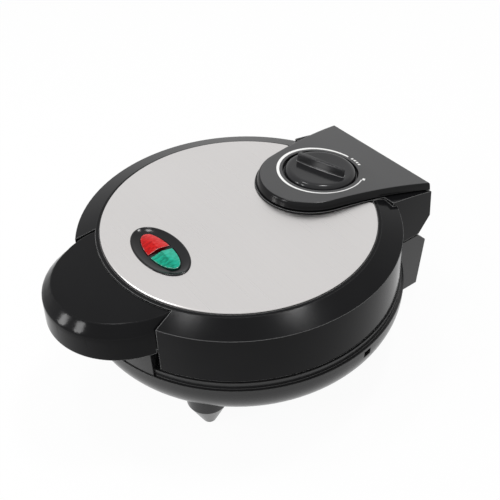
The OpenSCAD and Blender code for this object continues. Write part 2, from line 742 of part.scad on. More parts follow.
// Hollow handle, held by two tongues under the ledge
module handle_grip() {
    low = tongue_z - seat_gap;
    tongue_in = 12;
    tongue_out = 8;
    grip_boss_r = 4;
    grip_boss_h = 7;
    step_r = lip_r + bay_rim + 2 * fit;
    color("#1d1d1f") on_axis() difference() {
        union() {
            difference() {
                handle_solid(0);
                translate([0, 0, -0.1]) handle_solid(wall);
                difference() {
                    lid_space(fit);
                    bay(-fit);
                }
                cylinder(r = lip_r + bay_rim + fit, h = 2 * lip_z);
            }
            intersection() {
                at_handle_screws() translate([0, 0, handle_z + wall]) cylinder(r = 4, h = handle_h);
                handle_solid(wall / 2);
            }
            mirrored() front_sector(tongue_from, tongue_to)
                polygon([[lip_r - tongue_in, low - wall], [lip_r + tongue_out, low - wall],
                         [lip_r + tongue_out, handle_top - wall / 2], [step_r, handle_top - wall / 2],
                         [step_r, low], [lip_r - tongue_in, low]]);
            at_grip_screws() translate([0, 0, low - grip_boss_h])
                cylinder(r = grip_boss_r, h = grip_boss_h - wall / 2);
        }
        at_grip_screws() translate([0, 0, low - grip_boss_h + 1])
            cylinder(r = screw_r + fit, h = grip_boss_h);
        at_handle_screws() cylinder(r = screw_r + fit, h = handle_z + handle_screw_len + 3);
    }
}

module grip_screws() {
    color("#8d8f92") on_axis() at_grip_screws() translate([0, 0, ledge_z]) screw(grip_screw_len);
}

module handle_underside() {
    r = handle_r - handle_draft - wall - seat_gap;
    color("#1d1d1f") on_axis() difference() {
        translate([0, 0, handle_z]) linear_extrude(wall) difference() {
            union() {
                translate([0, handle_y]) circle(r);
                translate([-r, handle_y]) square([2 * r, handle_r / 2]);
            }
            circle(skirt_r + seat_gap);
        }
        at_handle_screws() {
            cylinder(r = screw_r + fit, h = lip_z);
            translate([0, 0, handle_z - 1]) cylinder(r = screw_head_r + seat_gap, h = 1 + screw_head_h);
        }
    }
}

module handle_screws() {
    color("#8d8f92") on_axis() at_handle_screws() translate([0, 0, handle_z + screw_head_h])
        rotate([180, 0, 0]) screw(handle_screw_len);
}

// The pod cover's edge: half of the outline, from the nose's middle round to the tail
pod_steps = 8;
function pod_half(d) = concat(nose_arc(d), [for (i = [0 : pod_steps])
    let (y = nose_end(d) + (pod_rear + d / 8 - nose_end(d)) * i / pod_steps) [pod_x(d, y), y]]);
function pod_level(d, drop) = [for (p = pod_half(d)) [p[0], p[1], crown(p[1]) - drop]];
function flipped(points) = [for (p = points) [-p[0], p[1], p[2]]];

// A crowned slab with bevelled sides, lofted between its lower and its upper edge
module pod_slab() {
    low = pod_level(pod_bevel, pod_edge);
    top = pod_level(0, 0);
    n = len(low);
    points = concat(low, top, flipped(low), flipped(top));
    side = [for (i = [0 : n - 2]) each [[i, i + n, i + n + 1], [i, i + n + 1, i + 1]]];
    other = [for (f = side) [f[2] + 2 * n, f[1] + 2 * n, f[0] + 2 * n]];
    strips = [for (i = [0 : n - 2]) each [
        [i, i + 1, i + 1 + 2 * n], [i, i + 1 + 2 * n, i + 2 * n],
        [i + n, i + 3 * n, i + 1 + 3 * n], [i + n, i + 1 + 3 * n, i + 1 + n]]];
    tail = [[n - 1, 2 * n - 1, 4 * n - 1], [n - 1, 4 * n - 1, 3 * n - 1]];
    nose = [[0, 2 * n, 3 * n], [0, 3 * n, n]];
    polyhedron(points, concat(side, other, strips, tail, nose));
}

module control_pod() {
    cup_d = recess_d + wall;
    color("#2b2b2d") on_axis() difference() {
        union() {
            difference() {
                pod_slab();
                intersection() {
                    translate([0, 0, tongue_z]) linear_extrude(3 * pod_rise)
                        pod_outline(-0.5, pod_rear - wall);
                    crown_under(wall);
                }
            }
            at_dial() translate([0, 0, -cup_d]) cylinder(r = cup_r, h = cup_d - 0.4);
            intersection() {
                at_pod_screws() translate([0, 0, ledge_z]) cylinder(r = 4, h = 2 * pod_rise);
                crown_under(wall / 2);
            }
        }
        at_dial() {
            translate([0, 0, -recess_d]) cylinder(r = recess_r, h = 4 * recess_d);
            translate([0, 0, -cup_d - 1]) cylinder(r = shaft_d / 2 + run_gap, h = 4 * cup_d);
            mirrored() translate([ear_x, 0, -cup_d - 1]) cylinder(r = ear_screw_r + fit, h = wall);
        }
        at_pod_screws() translate([0, 0, ledge_z - 1]) cylinder(r = screw_r + fit, h = 5.5);
    }
}

module pod_screws() {
    color("#8d8f92") on_axis() at_pod_screws() translate([0, 0, tongue_z]) rotate([180, 0, 0])
        screw(pod_screw_len);
}

module steel_panel() {
    notch = pod_bevel + panel_gap;
    color("#c9c7c4") on_axis() difference() {
        rotate_extrude() {
            translate([0, panel_z - panel_t]) square([panel_r, panel_t]);
            translate([panel_r - panel_t, ledge_z]) square([panel_t, panel_edge]);
        }
        translate([0, 0, ledge_z - 1]) linear_extrude(3 * panel_edge) pod_outline(notch, pod_rear);
        translate([0, -bezel_y, ledge_z - 1]) linear_extrude(3 * panel_edge)
            polygon(oval(bezel_a - bezel_lap, bezel_b - bezel_lap));
    }
}

// Oval bezel with a sunk dish, two windows and a lamp socket under each
lamp_x = lens_a / 2;
lamp_r = 3;
lamp_drop = 7;
dish_z = panel_z + bezel_h - 1.6;
bezel_lap = 1.2;
lens_sink = 1.5;
dish_lap = 0.8;
dish_over = 0.4;
dish_flat = 0.2;
lens_slope = 16;
lens_hip = 6;
module lamp_bezel() {
    color("#161617") on_axis() translate([0, -bezel_y, 0]) difference() {
        union() {
            translate([0, 0, panel_z]) linear_extrude(bezel_h) polygon(oval(bezel_a, bezel_b));
            translate([0, 0, tongue_z]) linear_extrude(panel_z - tongue_z)
                polygon(oval(bezel_a - bezel_lap - seat_gap, bezel_b - bezel_lap - seat_gap));
            mirrored() translate([lamp_x, 0, tongue_z + 1 - lamp_drop])
                cylinder(r = lamp_r + 1.5, h = lamp_drop);
        }
        hull() {
            translate([0, 0, dish_z]) linear_extrude(dish_flat)
                polygon(oval(lens_a + dish_lap, lens_b + dish_lap));
            translate([0, 0, panel_z + bezel_h + dish_over]) linear_extrude(dish_flat)
                polygon(oval(bezel_a, bezel_b));
        }
        for (side = [0, 180]) rotate(side) translate([0, 0, dish_z - lens_sink]) linear_extrude(10)
            lens_2d(seat_gap);
        mirrored() translate([lamp_x, 0, tongue_z - lamp_drop]) cylinder(r = lamp_r + fit, h = 20);
    }
}

module lens_2d(d) difference() {
    polygon(oval(lens_a + d, lens_b + d));
    translate([-2 * lens_a, -2 * lens_b]) square([2 * lens_a + lens_bar / 2 - d, 4 * lens_b]);
}

// A lens that is highest at the bar and falls away outwards in three facets
module lens() translate([0, 0, dish_z - lens_sink]) difference() {
    linear_extrude(lens_sink + lens_h + 1) lens_2d(0);
    for (side = [-1, 1]) translate([lens_bar / 2, 0, lens_sink + lens_h]) rotate([0, lens_hip, 0])
        rotate([side * lens_slope, 0, 0]) translate([-lens_a, -2 * lens_a, 0])
            cube([4 * lens_a, 4 * lens_a, 2 * lens_a]);
}
module red_lens() { color("#c52a2a") on_axis() translate([0, -bezel_y, 0]) rotate(180) lens(); }
module green_lens() { color("#23a57c") on_axis() translate([0, -bezel_y, 0]) lens(); }

module indicator_lamps() {
    lamp_len = dish_z - lens_sink - 0.5 - lamp_r - tongue_z + lamp_drop;
    color("#e8c9a0") on_axis() mirrored() translate([lamp_x, -bezel_y, tongue_z - lamp_drop]) {
        cylinder(r = lamp_r, h = lamp_len);
        translate([0, 0, lamp_len]) sphere(lamp_r);
        for (x = [-1, 1]) translate([x, 0, -2]) cylinder(r = 0.4, h = 2.5, $fn = 16);
    }
}

module upper_heat_reflector() {
    color("#b9bbbd") on_axis() difference() {
        translate([0, 0, upper_face + flange_t]) mirror([0, 0, 1])
            pan(upper_pan_z - upper_face - flange_t, plate_rim_r);
        around(upper_posts, upper_post_at) cylinder(r = post_r + seat_gap, h = lip_z);
        heater_ends(180) cylinder(r = heater_pin_r + seat_gap, h = lip_z);
    }
}

module upper_heating_element() {
    tube_z = upper_back + heater_sink;
    color("#77787b") on_axis() {
        translate([0, 0, tube_z]) heater_ring(180);
        heater_ends(180) translate([0, 0, tube_z]) cylinder(r = heater_pin_r, h = upper_pan_z + 4 - tube_z);
    }
}

module upper_cooking_plate() {
    color("#3f4042") on_axis() {
        translate([0, 0, upper_face]) mirror([0, 0, 1]) cooking_plate(0);
        around(upper_posts, upper_post_at) translate([0, 0, tongue_z]) mirror([0, 0, 1]) difference() {
            cylinder(r = post_r, h = tongue_z - upper_back + 1);
            translate([0, 0, -1]) cylinder(r = screw_r + fit, h = 10);
        }
    }
}

module upper_plate_screws() {
    color("#8d8f92") on_axis() around(upper_posts, upper_post_at)
        translate([0, 0, ledge_z]) screw(upper_screw_len);
}

// Thermostat, hung from the dial's cup
cup_z = -recess_d - wall;
bracket_t = 1.2;
stat_h = 9.5;
stat_w = 24;
stat_l = 20;
stat_r = 8.5;
ear_x = 16;
ear_w = 14;
ear_screw_r = 1.2;
module thermostat_bracket() {
    color("#b4b6b8") on_axis() at_dial() translate([0, 0, cup_z - bracket_t]) difference() {
        union() {
            translate([-ear_x - 4, -ear_w / 2, 0]) cube([2 * ear_x + 8, ear_w, bracket_t]);
            translate([-stat_w / 2, -stat_l / 2 - 1, 0]) cube([stat_w, stat_l + 2, bracket_t]);
        }
        translate([0, 0, -1]) cylinder(r = shaft_d / 2 + run_gap, h = 4);
        mirrored() translate([ear_x, 0, -1]) cylinder(r = ear_screw_r + fit, h = 4);
    }
}

module thermostat_body() {
    color("#d9d4c7") on_axis() at_dial() translate([0, 0, cup_z - bracket_t - stat_h]) difference() {
        union() {
            translate([-stat_w / 2, -stat_l / 2, 0]) cube([stat_w, stat_l, stat_h / 2]);
            cylinder(r = stat_r, h = stat_h);
            for (i = [0, 1]) translate([-stat_w / 2 + 3, stat_l / 2 - 2, 1 + 2 * i])
                cube([stat_w - 6, 8 - 2 * i, 1.2]);
        }
        translate([0, 0, 2]) cylinder(r = shaft_d / 2 + fit, h = stat_h);
        mirrored() translate([stat_w / 2 - 2, -stat_l, 1.5]) cube([3, 2 * stat_l, 1.6]);
    }
}

module thermostat_screws() {
    color("#8d8f92") on_axis() at_dial() mirrored() translate([ear_x, 0, cup_z - bracket_t])
        rotate([180, 0, 0]) screw(bracket_t + wall - 1.2, head_r = 2 * ear_screw_r, head_h = 1,
                                  shank_r = ear_screw_r);
}

module thermal_fuse() {
    color("#c8b27a") on_axis() translate([34, 20, upper_pan_z]) {
        translate([-9, -3, 0]) cube([18, 6, 1]);
        translate([-7, 0, 3]) rotate([0, 90, 0]) cylinder(r = 2.4, h = 14, $fn = 32);
        for (x = [-5, 3]) translate([x, -3, 0.5]) cube([2, 6, 5.6]);
    }
}

// Dial

// Thickness of the knob's face over the shaft
knob_skin = 0.9;
module dial_knob() {
    skirt_z = run_gap - recess_d;
    half = grip_len / 2;
    color("#161617") on_axis() at_dial() rotate(grip_angle) difference() {
        union() {
            translate([0, 0, skirt_z]) cylinder(r1 = knob_r, r2 = knob_r - 0.4, h = -skirt_z);
            cylinder(r1 = knob_r - 0.4, r2 = knob_face_r, h = knob_face_h);
            intersection() {
                linear_extrude(grip_h) polygon([[-half, -grip_w / 2], [half, -grip_tip / 2],
                                                [half, grip_tip / 2], [-half, grip_w / 2]]);
                cylinder(r1 = half, r2 = half - 1, h = grip_h + 1);
            }
        }
        translate([0, 0, skirt_z - 1])
            cylinder(d = shaft_d + 2 * fit, h = 1 - skirt_z + knob_face_h - knob_skin);
        translate([0, 0, skirt_z - 1]) difference() {
            cylinder(r = knob_r - 2.2, h = 2.2);
            cylinder(r = shaft_d / 2 + 2.5, h = 3);
        }
    }
}

module thermostat_shaft() {
    from = cup_z - bracket_t - stat_h + 2.2;
    color("#a9abad") on_axis() at_dial() translate([0, 0, from])
        cylinder(d = shaft_d, h = knob_face_h - knob_skin - seat_gap - from);
}

lower_housing();
hinge_base();
hinge_base_screws();
front_feet();
guide_lugs();
wiring_cover();
wiring_cover_screws();
cord_gland();
terminal_block();
foot_pads();
lower_heat_reflector();
lower_heating_element();
lower_cooking_plate();
lower_plate_screws();
hinge_pins();
lid_housing();
handle_grip();
grip_screws();
handle_underside();
handle_screws();
control_pod();
pod_screws();
steel_panel();
lamp_bezel();
red_lens();
green_lens();
indicator_lamps();
upper_heat_reflector();
upper_heating_element();
upper_cooking_plate();
upper_plate_screws();
thermostat_bracket();
thermostat_body();
thermostat_screws();
thermal_fuse();
dial_knob();
thermostat_shaft();
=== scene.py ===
# %% [markdown]
# # An electric egg roll maker, dressed for the camera
# The imported CAD model is the skeleton of this lesson: it brings every moulding, plate, screw and
# pin in its true place, in metres. We load it once and then dress it: finishes first, then the
# shells that the eye lands on, then camera and light.

# %% Load the frame
import json
import math
import bmesh
import bpy
from mathutils import Matrix, Vector


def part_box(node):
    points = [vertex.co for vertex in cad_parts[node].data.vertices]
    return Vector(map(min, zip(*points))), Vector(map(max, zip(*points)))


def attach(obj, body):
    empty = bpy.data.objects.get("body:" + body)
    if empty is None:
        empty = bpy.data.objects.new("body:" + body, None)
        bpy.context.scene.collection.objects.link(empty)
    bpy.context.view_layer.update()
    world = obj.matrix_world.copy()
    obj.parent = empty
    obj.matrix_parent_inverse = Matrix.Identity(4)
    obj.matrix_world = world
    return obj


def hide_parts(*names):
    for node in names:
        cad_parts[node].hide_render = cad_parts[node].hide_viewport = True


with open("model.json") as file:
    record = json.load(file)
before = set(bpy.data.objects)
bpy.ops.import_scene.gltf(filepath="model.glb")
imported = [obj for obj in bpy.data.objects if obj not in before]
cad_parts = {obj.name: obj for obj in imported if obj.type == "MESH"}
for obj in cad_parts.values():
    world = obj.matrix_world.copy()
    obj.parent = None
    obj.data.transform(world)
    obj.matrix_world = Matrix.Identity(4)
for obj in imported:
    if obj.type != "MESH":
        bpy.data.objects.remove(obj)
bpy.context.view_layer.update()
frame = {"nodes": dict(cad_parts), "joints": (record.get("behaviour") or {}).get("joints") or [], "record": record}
nodes = frame["nodes"]
mm = 0.001

# %% [markdown]
# ## Writing shader maths as plain expressions
# A finish is a small graph of nodes. Placing Math nodes by hand hides what is meant, so one class
# wraps a socket and overloads the operators: `1 - mask * 0.4` then adds its nodes by itself.
# Any other node comes from one method, which sets the node's own settings first and then feeds
# its sockets with numbers or links.

# %% Sockets with operators
class Value:
    """A socket of a finish. Arithmetic on it adds Math nodes to the same finish."""

    def __init__(self, finish, socket):
        self.finish, self.socket = finish, socket

    def maths(self, operation, a, b):
        return self.finish.node("ShaderNodeMath", {"operation": operation}, {0: a, 1: b})

    def __add__(self, other): return self.maths("ADD", self, other)
    def __radd__(self, other): return self.maths("ADD", other, self)
    def __sub__(self, other): return self.maths("SUBTRACT", self, other)
    def __rsub__(self, other): return self.maths("SUBTRACT", other, self)
    def __mul__(self, other): return self.maths("MULTIPLY", self, other)
    def __rmul__(self, other): return self.maths("MULTIPLY", other, self)
    def __truediv__(self, other): return self.maths("DIVIDE", self, other)
    def capped(self): return self.maths("MINIMUM", self.maths("MAXIMUM", self, 0.0), 1.0)


class Finish:
    """One material with a Principled shader, built from Value expressions."""

    def __init__(self, name):
        self.material = bpy.data.materials.new(name)
        self.material.use_nodes = True
        self.tree = self.material.node_tree
        self.shader = self.tree.nodes["Principled BSDF"]

    def node(self, kind, settings=None, inputs=None, output=0):
        made = self.tree.nodes.new(kind)
        for key, value in (settings or {}).items():
            setattr(made, key, value)
        for key, value in (inputs or {}).items():
            self.feed(made.inputs[key], value)
        return Value(self, made.outputs[output])

    def feed(self, socket, value):
        if isinstance(value, Value):
            self.tree.links.new(value.socket, socket)
        else:
            socket.default_value = value

    def set(self, **inputs):
        for key, value in inputs.items():
            self.feed(self.shader.inputs[key.replace("_", " ")], value)

    def place(self, scale=(1, 1, 1)):
        """Object coordinates, scaled for a pattern."""
        at = self.node("ShaderNodeTexCoord", output="Object")
        return self.node("ShaderNodeMapping", {"vector_type": "POINT"},
                         {"Vector": at, "Scale": scale})

    def noise(self, scale, detail=2.0, at=None):
        return self.node("ShaderNodeTexNoise", {},
                         {"Vector": at or self.place(), "Scale": scale, "Detail": detail})

    def tint(self, mask, low, high):
        """A colour between two colours, by a mask. Either may be a link."""
        ends = [c if isinstance(c, Value) else (*c, 1) for c in (low, high)]
        return self.node("ShaderNodeMix", {"data_type": "RGBA"}, {0: mask, 6: ends[0], 7: ends[1]},
                         output=2)

    def rounded(self, radius, samples=6):
        """A normal that rounds the sharp edges of a moulding."""
        return self.node("ShaderNodeBevel", {"samples": samples}, {"Radius": radius})

    def edge(self, soft, gain=6.0):
        """1 where the rounded normal leaves the flat one: the edges, for scuffing and for painted highlights."""
        flat = self.node("ShaderNodeNewGeometry", output="Normal")
        along = self.node("ShaderNodeVectorMath", {"operation": "DOT_PRODUCT"}, {0: soft, 1: flat},
                          output="Value")
        return ((1 - along) * gain).capped()

    def facing(self, way, start, full):
        """0 to 1 as the surface turns towards a direction on the piece.

        The two cosines say where that starts and where it is full."""
        own = self.node("ShaderNodeTexCoord", output="Normal")
        along = self.node("ShaderNodeVectorMath", {"operation": "DOT_PRODUCT"}, {0: own, 1: way},
                          output="Value")
        return ((along - start) / (full - start)).capped()

    def bump(self, height, depth, normal):
        return self.node("ShaderNodeBump", {},
                         {"Height": height, "Distance": depth, "Strength": 1.0, "Normal": normal})


print("sockets ready")

# %% [markdown]
# ## Moulded plastic
# The housings are injection moulded. Gloss black is never perfectly even: the surface has a faint
# orange-peel ripple and slightly duller patches. Its edges are lighter in colour: partly scuffing
# from handling, and on the lid and the knob mostly a painted highlight, a light line where a lamp
# would catch a rounded edge. One function gives all of that, with the colour, the gloss and the grain
# as its values. The studio is white all round, so a low specular level keeps the blacks black. The
# pod's top is finer textured than its polished edge, so its gloss is duller where the surface faces
# up; its much lighter colour there is a painted reflection of a bright backdrop.

# %% Moulded finishes
patch_scale, ripple_scale, grain_scale = 38.0, 250.0, 2000.0
patch_dull, rub_dull = 0.4, 0.12
up_facing_from, up_facing_full = 0.93, 0.985
up = (0, 0, 1)


def moulded(name, colour, gloss, shine=0.13, ripple=2e-6, grain=0.0, edge=0.0006, edge_wear_and_glint_share=0.3,
            edge_wear_and_glint_lift=0.02, top=None, top_gloss=0.0):
    f = Finish(name)
    patch = f.noise(patch_scale, 3.0)
    soft = f.rounded(edge)
    # Lighter edges: scuffing from handling, and a painted highlight where a lamp would catch the edge.
    edge_wear_and_glint = f.edge(soft) * edge_wear_and_glint_share
    lighter = [c * 1.25 + 0.002 for c in colour]
    edge_wear_and_glint_colour = [c * 1.6 + edge_wear_and_glint_lift for c in colour]
    base = f.tint(patch, colour, lighter)
    rough = gloss + (patch - 0.5) * gloss * patch_dull + edge_wear_and_glint * rub_dull
    if top:
        # Facing up: a duller gloss for the finer texture, and a lighter colour that is a painted reflection of a
        # bright backdrop.
        satin_and_painted_sheen = f.facing(up, up_facing_from, up_facing_full)
        base = f.tint(satin_and_painted_sheen, base, f.tint(patch, top, [c * 1.1 for c in top]))
        rough = rough + satin_and_painted_sheen * (top_gloss - gloss)
    normal = f.bump(f.noise(ripple_scale, 1.0), ripple, soft)
    if grain:
        normal = f.bump(f.noise(grain_scale, 2.0), grain, normal)
    f.set(Base_Color=f.tint(edge_wear_and_glint, base, edge_wear_and_glint_colour), Roughness=rough.capped(), Normal=normal,
          Specular_IOR_Level=shine)
    return f.material


# The lid's edges are lightened strongly: a painted highlight along its creases and rims.
lid_black = moulded("lid_black", (0.004, 0.004, 0.0045), 0.13, 0.09, edge_wear_and_glint_share=1.0, edge_wear_and_glint_lift=0.28)
housing_black = moulded("housing_black", (0.012, 0.012, 0.0125), 0.22, 0.34, edge_wear_and_glint_share=0.8, edge_wear_and_glint_lift=0.08)
# The pod's light top colour is a painted reflection; its duller top gloss is its own.
pod_black = moulded("pod_black", (0.004, 0.004, 0.0045), 0.16, 0.14, top=(0.066, 0.066, 0.067),
                    top_gloss=0.42)
bezel_black = moulded("bezel_black", (0.006, 0.006, 0.007), 0.16, 0.20, edge=0.0003)
# The knob's edges likewise carry a painted highlight.
knob_black = moulded("knob_black", (0.014, 0.014, 0.015), 0.14, 0.22, edge=0.0004, edge_wear_and_glint_share=1.0,
                     edge_wear_and_glint_lift=0.3)
gland_black = moulded("gland_black", (0.02, 0.02, 0.02), 0.55, grain=5e-6, edge=0.0004)
rubber_pads = moulded("rubber_pads", (0.03, 0.03, 0.03), 0.7, grain=8e-6, edge=0.0004)
print("moulded finishes ready")

# %% [markdown]
# ## Metals
# The panel is brushed sheet: noise stretched two hundredfold across the lid gives the hairlines, in
# colour, roughness and a very shallow bump. The other metals share the same function and the same
# streaks in colour and roughness, with a bump only on the reflector, because turned and drawn metal
# has hairlines too.

# %% Metal finishes
hairline_scale, cloud_scale = (12.0, 2600.0, 12.0), 14.0
streak_share, streak_dull, cloud_dull = 0.6, 0.12, 0.04


def sheet_metal(name, colour, dull, hairline=0.0, contrast=0.07, edge=0.0003):
    f = Finish(name)
    streaks = f.noise(1.0, 3.0, f.place(hairline_scale))
    cloud = f.noise(cloud_scale, 3.0)
    darker = [c * (1 - contrast) for c in colour]
    soft = f.rounded(edge)
    mottle = (streaks * streak_share + cloud * (1 - streak_share)).capped()
    f.set(Base_Color=f.tint(mottle, darker, colour), Metallic=1.0,
          Roughness=dull + (streaks - 0.5) * streak_dull + (cloud - 0.5) * cloud_dull,
          Normal=f.bump(streaks, hairline, soft) if hairline else soft)
    return f.material


brushed_panel = sheet_metal("brushed_panel", (0.70, 0.682, 0.674), 0.30, 1e-7, 0.14)
reflector_sheet = sheet_metal("reflector_sheet", (0.72, 0.72, 0.73), 0.28, 8e-7)
heater_tube = sheet_metal("heater_tube", (0.26, 0.26, 0.27), 0.45)
zinc_screws = sheet_metal("zinc_screws", (0.60, 0.60, 0.61), 0.35)
bright_steel = sheet_metal("bright_steel", (0.66, 0.66, 0.67), 0.22)
fuse_brass = sheet_metal("fuse_brass", (0.68, 0.52, 0.26), 0.32)
print("metal finishes ready")

# %% [markdown]
# ## Coating, ceramic, ink and lamps
# The cooking plates are cast and sprayed with a dark non-stick coating, so fine flecks run through
# colour, gloss and a bump. The same function makes unglazed ceramic and the dial's white ink. The
# lamp caps are clear plastic with fine prisms inside: a deep tint that differs from facet to facet,
# glints along the edges and a faint glow stand for the light that clear plastic gathers and bends.

# %% Coating, ceramic and ink
fleck_scale, blotch_scale = 1700.0, 25.0
fleck_share, fleck_floor, fleck_dull = 0.7, 0.35, 0.2


def coated(name, colour, dull, speck, relief=1.2e-5, edge=0.0004):
    f = Finish(name)
    fleck = f.noise(fleck_scale)
    blotch = f.noise(blotch_scale, 3.0)
    light = [c + speck for c in colour]
    mottle = (fleck * fleck_share + blotch * (1 - fleck_share) - fleck_floor).capped()
    f.set(Base_Color=f.tint(mottle, colour, light), Roughness=dull + (fleck - 0.5) * fleck_dull,
          Normal=f.bump(fleck, relief, f.rounded(edge)))
    return f.material


plate_coating = coated("plate_coating", (0.028, 0.028, 0.030), 0.42, 0.05)
ceramic_block = coated("ceramic_block", (0.72, 0.69, 0.62), 0.6, 0.08)
scale_ink = coated("scale_ink", (0.80, 0.80, 0.79), 0.5, 0.06, 2e-6)
print("coating, ceramic and ink ready")

# %% Clear caps
prism_scale, prism_floor, prism_gain = (900.0, 260.0, 900.0), 0.38, 4.5
prism_dull, prism_relief, cap_edge_soft = 0.08, 1.5e-5, 0.0002
glint_scale, glint_floor, glint_gain, glint_wide = 900.0, 0.42, 6.0, 0.0005
rear_roof, rear_from, rear_full = (0, 1, 0.4), 0.30, 0.52
roof_from, roof_full = 0.55, 0.85


def clear_cap(name, deep, bright, pale, gloss, glow=0.0):
    f = Finish(name)
    prisms = f.noise(1.0, 2.0, f.place(prism_scale))
    grains = ((prisms - prism_floor) * prism_gain).capped()
    # Painted light: facets facing back and up are tinted lighter, the walls below the roof darker, the edges carry
    # painted glints, and a faint painted glow is added.
    rear = f.facing(rear_roof, rear_from, rear_full)
    face = f.tint(rear, f.tint(grains, deep, bright), f.tint(grains, bright, pale))
    shaded = [c * 0.3 for c in deep]
    shiny = [c * 0.4 + 0.5 for c in pale]
    edges = f.edge(f.rounded(glint_wide)) * 2.0
    glint = (edges * (f.noise(glint_scale) - glint_floor) * glint_gain).capped()
    colour = f.tint(glint, f.tint(f.facing(up, roof_from, roof_full), shaded, face), shiny)
    f.set(Base_Color=colour, Roughness=gloss + (prisms - 0.5) * prism_dull, IOR=1.5,
          Normal=f.bump(prisms, prism_relief, f.rounded(cap_edge_soft)), Specular_IOR_Level=0.14,
          Emission_Color=colour, Emission_Strength=glow)
    return f.material


red_lens = clear_cap("red_lens", (0.30, 0.001, 0.002), (0.48, 0.005, 0.005), (0.58, 0.03, 0.03),
                     gloss=0.14, glow=0.10)
green_lens = clear_cap("green_lens", (0.001, 0.16, 0.10), (0.005, 0.31, 0.20), (0.015, 0.40, 0.28),
                       gloss=0.14, glow=0.10)
lamp_glass = clear_cap("lamp_glass", (0.50, 0.32, 0.18), (0.80, 0.52, 0.30), (0.85, 0.7, 0.5),
                       gloss=0.08)
print("lamp caps ready")

# %% [markdown]
# ## A finish for every node
# The record names a material slot for each node. A dictionary from slot to finish dresses them all.

# %% Dress the nodes
finishes = dict(
    lid_black=lid_black, housing_black=housing_black, pod_black=pod_black, bezel_black=bezel_black,
    knob_black=knob_black, gland_black=gland_black, rubber_pads=rubber_pads,
    brushed_panel=brushed_panel, reflector_sheet=reflector_sheet, heater_tube=heater_tube,
    zinc_screws=zinc_screws, bright_steel=bright_steel, fuse_brass=fuse_brass,
    plate_coating=plate_coating, ceramic_block=ceramic_block, red_lens=red_lens,
    green_lens=green_lens, lamp_glass=lamp_glass)
for part in frame["record"]["subparts"]:
    mesh = nodes[part["node"]].data
    mesh.materials.clear()
    mesh.materials.append(finishes[part["material_slot"]])

# %% [markdown]
# ## From a bmesh to a piece that rides the lid or the dial
# The shells that catch the light are modelled again with rounded edges. All of them are drawn in
# millimetres about the lid's upright axis, which is easier to think in than metres in the frame.
# One function merges doubles, turns the faces outwards, gives a sheet its thickness, moves the mesh
# into the frame, smooths it and gives it its finish. Each cell then says which body it rides.

# %% Finish a piece
low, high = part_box("steel_panel")
panel_r = (high.x - low.x) / 2 / mm
axis_y = low.y / mm + panel_r
panel_top, panel_foot = high.z / mm, low.z / mm
sharp_from = math.radians(32)
weld_gap = 1e-4


def into_frame(name, shape, finish, sheet=0.0):
    """A shape in millimetres about the lid's axis, made an object of the frame."""
    bmesh.ops.remove_doubles(shape, verts=shape.verts, dist=weld_gap)
    bmesh.ops.recalc_face_normals(shape, faces=shape.faces)
    if sheet:
        if sum(f.normal.z * f.calc_area() for f in shape.faces) < 0:
            bmesh.ops.reverse_faces(shape, faces=shape.faces)
        bmesh.ops.solidify(shape, geom=shape.faces[:], thickness=sheet)
    bmesh.ops.translate(shape, verts=shape.verts, vec=(0, axis_y, 0))
    bmesh.ops.scale(shape, verts=shape.verts, vec=(mm, mm, mm))
    open_edges = sum(not e.is_manifold for e in shape.edges)
    mesh = bpy.data.meshes.new(name)
    shape.to_mesh(mesh)
    shape.free()
    mesh.shade_smooth()
    mesh.set_sharp_from_angle(angle=sharp_from)
    mesh.materials.append(finish)
    obj = bpy.data.objects.new(name, mesh)
    bpy.context.scene.collection.objects.link(obj)
    print(name, len(mesh.polygons), "faces,", open_edges, "open edges")
    return obj


print("panel radius", round(panel_r, 2), "mm, lid axis at y", round(axis_y, 2), "mm")

# %% [markdown]
# ## Rings, arcs and lofts
# Nearly every moulding here is a stack of closed outlines: the pod's rounded edge, the dial's
# recess, the knob's grip. When two outlines have the same number of points, bridging them gives
# clean four-sided faces, so we make every ring with the same count and bridge ring to ring.

# %% Rings and lofts
ring_steps = 96


def edges_of(verts):
    """The edges among these points, each once, in the order of the points."""
    inside = set(verts)
    found = dict.fromkeys(e for v in verts for e in v.link_edges if e.other_vert(v) in inside)
    return list(found)


def ring(shape, half_x, half_y, place):
    """A closed oval of edges, in the plane and at the middle that the matrix gives."""
    made = bmesh.ops.create_circle(shape, segments=ring_steps, radius=1.0,
                                   matrix=place @ Matrix.Diagonal((half_x, half_y, 1, 1)))
    return edges_of(made["verts"])


def only(kind, geom):
    """The points, the edges or the faces among what an operator gave back."""
    return [g for g in geom if isinstance(g, kind)]


def added(shape, before):
    """The points that were not there before."""
    return [v for v in shape.verts if v not in before]


def loft(shape, rings):
    """Faces from ring to ring."""
    for near, far in zip(rings, rings[1:]):
        bmesh.ops.bridge_loops(shape, edges=near + far)


def arc(shape, start, middle, sweep, steps):
    """A point swept clockwise, seen from above, into a chain of edges. Gives all its points."""
    before = set(shape.verts)
    first = shape.verts.new(start)
    bmesh.ops.spin(shape, geom=[first], cent=middle, axis=(0, 0, -1), angle=sweep, steps=steps)
    return added(shape, before)


def line(shape, start, end, steps):
    """A point pulled straight to another place in equal steps. Gives the last point."""
    step = (Vector(end) - start.co) / steps
    pulled = bmesh.ops.spin(shape, geom=[start], dvec=step, axis=(0, 0, 1), angle=0.0, steps=steps)
    return pulled["geom_last"][0]


print("rings of", ring_steps, "points")

# %% [markdown]
# ## The pod over the hinge
# The pod is a satin moulding that crowns like a shallow barrel, with a rounded gloss edge and a
# round recess that the dial sinks into. In CAD its edge is a plain slope. Here each outline is a
# half circle for the nose and two straight sides that flare towards the hinge. The point at the
# end of one side is swept round the nose, its ends are pulled back to the tail, and every outline
# is then lowered on to the crown, so that the rounding follows the barrel.

